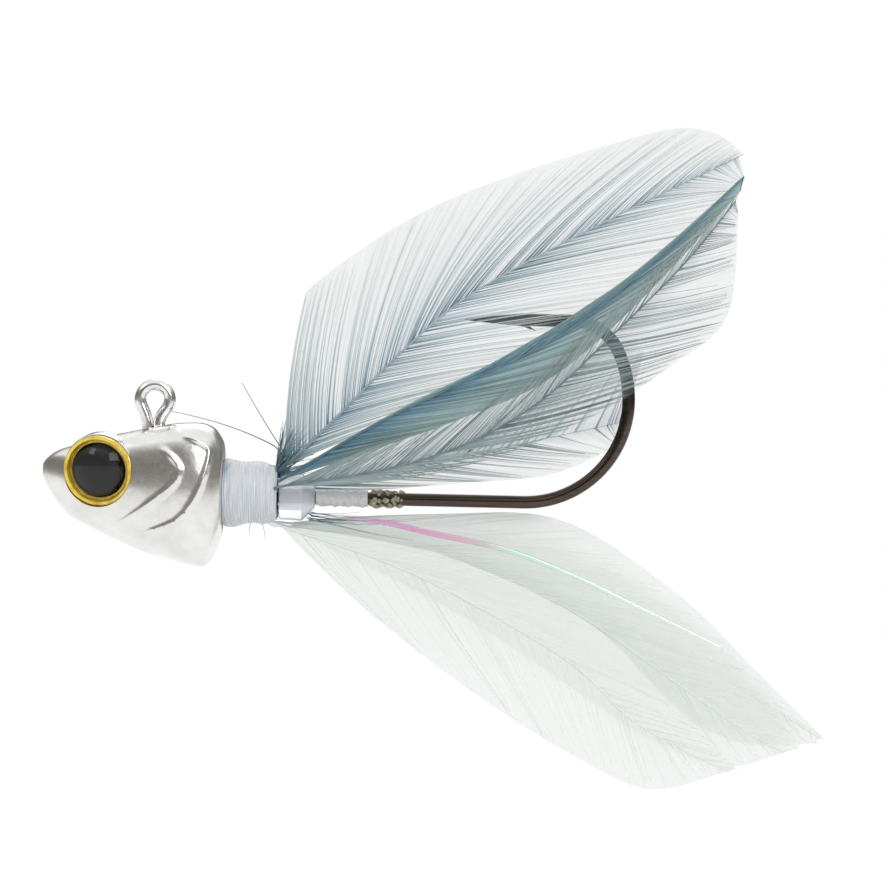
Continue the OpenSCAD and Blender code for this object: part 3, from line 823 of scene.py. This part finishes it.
def make_glue(glue):
    """A crust of dried drops round the shank."""
    low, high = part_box("glue_beads")
    axis_z = -9.45 * MM
    drops = []
    for count in range(84):
        share = (count + dice.random()) / 84
        size = (0.34 - 0.16 * share) * dice.uniform(0.6, 1.1) * MM
        angle = dice.uniform(0, 2 * math.pi)
        x = low[0] + size + (high[0] - low[0] - 2 * size) * share
        ring = (0.66 + 0.10 * dice.random()) * MM
        bpy.ops.object.select_all(action="DESELECT")
        bpy.ops.mesh.primitive_ico_sphere_add(subdivisions=2, radius=size,
                                              location=(x, ring * math.cos(angle), axis_z + ring * math.sin(angle)))
        drop = bpy.context.object
        edit_all()
        bpy.ops.transform.vertex_random(offset=size * 0.22, seed=count)
        bpy.ops.object.mode_set(mode="OBJECT")
        bpy.ops.object.transform_apply(location=True, rotation=True, scale=True)
        drops.append(drop)
    crust = joined("glue_crust", drops)
    crust.data.materials.append(glue)
    settle(crust, "lure", "glue_beads")


# ---------------------------------------------------------------- feathers

FLARE_REACH = 5.0
SPREAD = 0.03
BLUE_REACH, WHITE_REACH = 55, 60

# Each hackle: quill, upper edge and lower edge as points [along, up] from its tie-in, in
# hundredths of its reach, and lean, which says how far out along the edge the barbs of each
# stretch of quill end.
HACKLES = {
    "hackle_blue_wide": dict(
        body="blue_wide_body", reach=BLUE_REACH, side=(0.7, 2.3, -1), barbs=(360, 390), width=(0.048, 0.014),
        quill_w=(0.17, 0.06), clumps=46, bow=(0.07, -0.02), finish="blue",
        quill=[[0.5, 0.5], [10.5, 10.5], [22, 22.5], [34.5, 33], [57.5, 46], [81, 58]],
        upper=[[0, 3], [0.5, 23.5], [3.5, 32], [27.5, 48.5], [63.5, 61.5], [75.5, 62.5], [82, 58.5]],
        lower=[[2, 0.5], [17.5, 8], [32.5, 15.5], [49.5, 24], [67, 37.5], [82.3, 54]],
        lean_up=[[0, 0.333], [0.12, 0.39], [0.35, 0.52], [0.62, 0.68], [0.8, 0.86], [1, 1]],
        lean_low=[[0, 0.16], [0.2, 0.45], [0.4, 0.68], [0.6, 0.84], [0.8, 0.95], [1, 1]]),
    "hackle_blue_folded": dict(
        body="blue_folded_body", reach=BLUE_REACH, side=(1.9, 2.95, -1), barbs=(190, 190), width=(0.085, 0.035),
        quill_w=(0.16, 0.06), clumps=22, bow=(0.02, 0.02), finish="deep",
        quill=[[0.5, 0], [16, 9.6], [30, 16.8], [48.5, 26], [65, 39.3], [82, 56]],
        upper=[[1, 2], [16.5, 10.6], [31, 18.2], [49, 27], [66, 40.4], [82, 56.3]],
        lower=[[2, -0.5], [16.5, 5.5], [30, 10.5], [48, 19], [64.5, 34], [81.5, 53.5]],
        lean_up=[[0, 0.30], [0.3, 0.60], [0.6, 0.86], [0.85, 0.98], [1, 1]],
        lean_low=[[0, 0.24], [0.3, 0.58], [0.6, 0.84], [0.85, 0.97], [1, 1]]),
    "hackle_blue_near": dict(
        body="blue_near_body", reach=BLUE_REACH, side=(2.8, 3.6, -1), barbs=(200, 300), width=(0.064, 0.026),
        quill_w=(0.14, 0.06), clumps=34, bow=(0.02, 0.03), finish="near",
        quill=[[0.5, 0], [19, 3.5], [33.5, 8.5], [46.5, 16.5], [59, 28.5], [71.5, 41.5], [80.5, 53]],
        upper=[[1, 1.5], [18, 8], [32.5, 13.5], [46.5, 22.5], [60, 34.5], [72.5, 46.5], [81, 54.5]],
        lower=[[2.5, -0.5], [23.5, 2], [40, 6.5], [56.5, 14], [70, 23.5], [79.5, 32.5], [81, 51]],
        lean_up=[[0, 0.14], [0.3, 0.44], [0.6, 0.70], [0.85, 0.93], [1, 1]],
        lean_low=[[0, 0.14], [0.2, 0.36], [0.47, 0.66], [0.65, 0.83], [0.78, 0.91], [1, 1]]),
    "hackle_blue_far": dict(
        body="blue_far_body", reach=BLUE_REACH, side=(2.8, 2.8, 1), barbs=(90, 90), width=(0.070, 0.022),
        quill_w=(0.09, 0.02), clumps=8, bow=(0.02, 0.02), finish="blue",
        quill=[[0.5, 0], [14.5, 2.5], [28.5, 6], [45.5, 10], [62.5, 14]],
        upper=[[1.5, 2], [16.5, 9.5], [32.5, 18.5], [51, 27], [65.5, 27]],
        lower=[[2, -0.5], [18, 0.5], [32.5, 2], [49, 4], [62, 10]],
        lean_up=[[0, 0.2], [0.3, 0.58], [0.6, 0.84], [1, 1]],
        lean_low=[[0, 0.2], [0.3, 0.58], [0.6, 0.85], [1, 1]]),
    "hackle_white_lower": dict(
        body="white_lower_body", reach=WHITE_REACH, side=(1.35, 1.35, -1), barbs=(80, 80), width=(0.040, 0.020),
        quill_w=(0.14, 0.05), clumps=16, bow=(0.03, 0.03), finish="white",
        quill=[[0, -0.5], [22.5, -8], [47, -21], [58, -30.5], [66.5, -35.5], [75, -39.4]],
        upper=[[1.5, 0], [25, -4], [50, -14.5], [63.5, -26.5], [71.5, -34], [76.5, -38.9]],
        lower=[[0.5, -1.5], [15, -14.5], [33.5, -28], [50.5, -38], [62, -42.6], [73.5, -39.8]],
        lean_up=[[0, 0.2], [0.4, 0.66], [0.75, 0.92], [1, 1]],
        lean_low=[[0, 0.2], [0.4, 0.66], [0.75, 0.92], [1, 1]]),
    "hackle_white_middle": dict(
        body="white_middle_body", reach=WHITE_REACH, side=(1.35, 1.35, 1), barbs=(80, 80), width=(0.040, 0.020),
        quill_w=(0.14, 0.05), clumps=16, bow=(0.03, 0.03), finish="white",
        quill=[[0.5, -0.5], [23.5, -4.5], [46.5, -12.5], [66, -25], [78, -33], [85, -36.7]],
        upper=[[1.5, 0], [26.5, 0], [51.5, -4.5], [71.5, -17], [83.5, -29], [87.5, -36]],
        lower=[[1.5, -1], [23.5, -10.5], [43.5, -23], [61.5, -34.5], [75, -39.2], [84.5, -36.9]],
        lean_up=[[0, 0.2], [0.4, 0.66], [0.75, 0.92], [1, 1]],
        lean_low=[[0, 0.2], [0.4, 0.66], [0.75, 0.92], [1, 1]]),
    "hackle_white_upper": dict(
        body="white_upper_body", reach=WHITE_REACH, side=(2.0, 2.0, 1), barbs=(80, 80), width=(0.040, 0.020),
        quill_w=(0.14, 0.05), clumps=16, bow=(0.03, 0.03), finish="white",
        quill=[[0.5, 0], [21.5, -2.5], [41.5, -8.5], [58.5, -16.5], [75.5, -25], [91, -34.2]],
        upper=[[1.5, 0.3], [25, 2], [46.5, 1.5], [66.5, -10.5], [80, -23], [92, -34.5]],
        lower=[[2, -1], [23.5, -7], [43.5, -17], [60, -27], [76.5, -35], [90.5, -35.2]],
        lean_up=[[0, 0.2], [0.4, 0.66], [0.75, 0.92], [1, 1]],
        lean_low=[[0, 0.2], [0.4, 0.66], [0.75, 0.92], [1, 1]]),
}
BARB_RINGS = 9
QUILL_ROOT = [-1.0, -0.6]


def laid_out(cut, flat):
    """Points [along, up] in millimetres from the tie-in, laid on the hackle's own curved side."""
    y_tie, y_out, side = cut["side"]
    reach = np.linalg.norm(flat, axis=-1)
    y = side * (y_tie + (y_out - y_tie) * (1 - np.exp(-reach / FLARE_REACH)) + SPREAD * reach)
    tie = np.array(joints[cut["body"]]["pos_m"])
    return tie + np.stack([flat[..., 0], y, flat[..., 1]], axis=-1) * MM


def barb_way(cut, half, root_share, tip_share, way):
    """The way of barbs from the quill to the edge, for each root share, at shares of the way."""
    edge, lean = (cut["upper"], cut["lean_up"]) if half > 0 else (cut["lower"], cut["lean_low"])
    lean = np.array(lean, float)
    root = on_curve(cut["quill"], root_share)
    tip = on_curve(edge, np.interp(tip_share, lean[:, 0], lean[:, 1]))
    chord = tip - root
    lift = cut["bow"][0 if half > 0 else 1] * half
    middle = root + chord * 0.45 + lift * np.stack([-chord[..., 1], chord[..., 0]], axis=-1)
    root, middle, tip = root[..., None, :], middle[..., None, :], tip[..., None, :]
    way = way[..., None]
    return (root * (1 - way) ** 2 + 2 * middle * way * (1 - way) + tip * way ** 2) * cut["reach"] / 100


def make_vane(cut, name):
    def place(along, across):
        half = np.where(across >= 0.5, 1, -1)
        out = np.abs(across - 0.5) * 2
        flat = np.empty((len(along), 2))
        for sign in (-1, 1):
            rows = half == sign
            flat[rows] = barb_way(cut, sign, along[rows], along[rows], out[rows][:, None])[:, 0]
        return laid_out(cut, flat)

    return bent_grid(name, 110, 28, place)


def make_barbs(cut, name, pattern):
    way = np.linspace(0, 1, BARB_RINGS)
    routes, widths, depths = [], [], []
    for half, count in zip((1, -1), cut["barbs"]):
        root = np.sort(draw.random(count)) ** 1.35
        clump = np.floor(root * cut["clumps"])
        centre = (clump + draw.random(cut["clumps"] + 1)[clump.astype(int)]) / cut["clumps"]
        pull = 0.25 + 0.5 * draw.random(cut["clumps"] + 1)[clump.astype(int)]
        tip = np.clip(root + (centre - root) * pull, 0, 1)
        full = 0.72 + 0.28 * draw.random(count) ** 0.5
        flat = barb_way(cut, half, root, tip, way[None] * full[:, None])
        routes.append(laid_out(cut, flat))
        thick = cut["width"][0] * (0.6 + 0.8 * draw.random(count))
        taper = thick[:, None] * (1 - way[None]) + cut["width"][1] * way[None]
        widths.append(taper * MM / 2)
        dye = 0.55 * draw.random(count) ** 2.2 + 0.45 * draw.random(cut["clumps"] + 1)[clump.astype(int)] ** 2
        depths.append(dye)
    return strands(name, pattern, np.concatenate(routes), np.concatenate(widths), np.concatenate(depths))


def make_quill(cut, name, pattern, rings):
    share = np.linspace(0, 1, rings)
    flat = on_curve([QUILL_ROOT] + cut["quill"], share) * cut["reach"] / 100
    width = (cut["quill_w"][0] * (1 - share) + cut["quill_w"][1] * share) * MM
    return strands(name, pattern, [laid_out(cut, flat)], [width], [0.75])


def make_hackles(films, dyes):
    barb_pattern = straw(BARB_RINGS, 4)
    quill_rings = 60
    quill_pattern = straw(quill_rings, 8)
    for node, cut in HACKLES.items():
        vane = make_vane(cut, node + "_vane")
        barbs = make_barbs(cut, node + "_barbs", barb_pattern)
        quill = make_quill(cut, node + "_quill", quill_pattern, quill_rings)
        vane.data.materials.append(films[cut["finish"]])
        barbs.data.materials.append(dyes[cut["finish"]])
        quill.data.materials.append(dyes[cut["finish"]])
        bpy.ops.object.select_all(action="DESELECT")
        bpy.context.view_layer.objects.active = vane
        vane.select_set(True)
        bpy.ops.object.shade_smooth()
        hackle = joined(node.replace("hackle_", "feather_"), [vane, barbs, quill])
        settle(hackle, cut["body"], node)


def make_flash(film):
    cut = dict(body="flash_body", side=(2.4, 2.4, -1))
    line = [[0.5, 0.5], [14.5, -0.5], [25, -2.5], [37.5, -5], [48.5, -9], [59.5, -14], [73.5, -20.5]]
    half = 0.3

    def place(along, across):
        flat = on_curve(line, along) * WHITE_REACH / 100
        flat[:, 1] += (across - 0.5) * 2 * half * (1 - 0.15 * along)
        spots = laid_out(cut, flat)
        spots[:, 1] -= 0.10 * MM * np.sin(across * np.pi)
        return spots

    strand = bent_grid("flash_ribbon", 120, 4, place)
    plate = strand.modifiers.new("film", "SOLIDIFY")
    plate.thickness = 0.05 * MM
    bpy.ops.object.modifier_apply(modifier="film")
    bpy.ops.object.shade_smooth()
    strand.data.materials.append(film)
    settle(strand, "flash_body", "flash_strand")


def make_loose_barbs(dye):
    low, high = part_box("thread_wrap")
    start = np.array([high[0], 0, (low[2] + high[2]) / 2 + 3.0 * MM])
    lines = [
        [[0.2, 0.1], [-0.1, 1.5], [-2.2, 2.6], [-4.9, 3.6], [-7.8, 4.4], [-10.7, 5]],
        [[0.5, 0.1], [0.42, 1.3], [-0.5, 2.7], [-2.1, 5.2], [-3.8, 8]],
    ]
    share = np.linspace(0, 1, 40)
    routes = []
    for line in lines:
        flat = on_curve(line, share)
        routes.append(start + np.stack([flat[:, 0], np.zeros(40), flat[:, 1]], axis=1) * MM)
    width = np.linspace(0.075, 0.03, 40) * MM
    pieces = strands("stray_barbs", straw(40, 6), routes, [width, width], [0.8, 0.9])
    pieces.data.materials.append(dye)
    settle(pieces, "lure", "loose_barbs")


def fan(name, roots, aims, lengths, curl, thick, pattern, rings):
    """Short strands that leave their roots at given aims in the hook's plane, in millimetres."""
    way = np.linspace(0, 1, rings)
    aim = aims[:, None] + curl[:, None] * way[None]
    step = lengths[:, None] / (rings - 1)
    x = roots[:, 0, None] + np.cumsum(np.cos(aim) * step, axis=1)
    z = roots[:, 2, None] + np.cumsum(np.sin(aim) * step, axis=1)
    y = roots[:, 1, None] * (1 + 0.25 * way[None])
    width = thick[:, None] * (1 - 0.7 * way[None]) / 2
    depths = 0.5 + 0.5 * draw.random(len(roots))
    return strands(name, pattern, np.stack([x, y, z], axis=2) * MM, width * MM, depths)


def make_tie_in(dye):
    """The dense roots of the blue hackles where the thread lets them go."""
    low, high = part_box("thread_wrap")
    rear, axis_z = high[0] / MM, (low[2] + high[2]) / 2 / MM
    count = 150
    roots = np.stack([np.full(count, rear - 0.15), draw.uniform(-1.7, 1.7, count),
                      axis_z + draw.uniform(1.3, 2.9, count)], axis=1)
    aims = np.radians(draw.uniform(12, 88, count))
    lengths = draw.uniform(1.2, 4.6, count)
    bundle = fan("tie_in_barbs", roots, aims, lengths, np.radians(draw.uniform(-12, 8, count)),
                 draw.uniform(0.07, 0.12, count), straw(8, 4), 8)
    bundle.data.materials.append(dye)
    settle(bundle, "lure")


def make_stray_barbs(dye, pale):
    low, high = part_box("flare_cone")
    rear, axis_z = high[0] / MM, (low[2] + high[2]) / 2 / MM
    count = 16
    roots = np.stack([np.full(count, rear - 1.2), draw.uniform(-1.9, 1.9, count),
                      axis_z - draw.uniform(1.3, 2.2, count)], axis=1)
    strays = fan("stray_barbs_under_shank", roots, np.radians(draw.uniform(-16, -1, count)),
                 draw.uniform(4, 11, count), np.radians(draw.uniform(0, 14, count)),
                 draw.uniform(0.05, 0.08, count), straw(12, 4), 12)
    strays.data.materials.append(dye)
    settle(strays, "lure")
    low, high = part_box("thread_wrap")
    roots = np.array([[high[0] / MM - 1.6, -0.8, low[2] / MM + 0.75], [high[0] / MM - 2.6, 1.2, low[2] / MM + 0.7]])
    hairs = fan("thread_ends", roots, np.radians(np.array([-62.0, -110.0])), np.array([1.9, 1.3]),
                np.radians(np.array([-30.0, 25.0])), np.array([0.06, 0.06]), straw(8, 4), 8)
    hairs.data.materials.append(pale)
    settle(hairs, "lure")


# ---------------------------------------------------------------- the lure

make_camera()
make_studio()
lacquer = silver_lacquer()
make_head(lacquer)
make_eyes(eye_foil(), eye_pupil(), clear_resin("eye dome resin", (1, 1, 1), 0.0, bend=1.33))
make_hook(hook_nickel())
make_wrap(bound_thread())
clear = clear_resin("clear plastic", tint(238, 242, 248), 0.08, clear=0.58)
make_cone(clear)
make_shank_sleeve(clear_resin("clear sleeve", tint(242, 244, 244), 0.14, clear=0.35))
make_glue(dried_glue())
butts = frame["nodes"]["feather_butts"]
butts.data.materials.clear()
butts.data.materials.append(quill_horn())
blue_dye = barb_dye("blue dye", tint(116, 156, 176), tint(186, 204, 207), tint(228, 235, 233), tint(146, 170, 177))
deep_dye = barb_dye("deep blue dye", tint(84, 134, 164), tint(122, 158, 166), tint(160, 182, 176), tint(90, 124, 138))
near_dye = barb_dye("near blue dye", tint(150, 172, 180), tint(176, 192, 194), tint(170, 186, 184), tint(70, 94, 98))
white_dye = barb_dye("white dye", tint(234, 240, 235), tint(240, 245, 241), tint(244, 248, 245), tint(246, 248, 246))
dyes = {"blue": blue_dye, "deep": deep_dye, "near": near_dye, "white": white_dye}
films = {
    "blue": vane_film("blue vane", tint(88, 128, 148), tint(136, 156, 152), 0.38, 0.17, 0.35, 0.35),
    "deep": vane_film("deep blue vane", tint(84, 130, 150), tint(132, 166, 166), 0.96, 0.85, 0.4, 0.1),
    "near": vane_film("near blue vane", tint(92, 120, 130), tint(140, 160, 158), 0.50, 0.17, 0.4, 0.35),
    "white": vane_film("white vane", tint(238, 243, 239), tint(243, 247, 244), 0.84, 0.74, 0.5, 0.07),
}
make_hackles(films, dyes)
make_flash(flash_film())
make_loose_barbs(deep_dye)
make_tie_in(deep_dye)
make_stray_barbs(deep_dye, near_dye)

bpy.context.scene.view_settings.view_transform = "Standard"
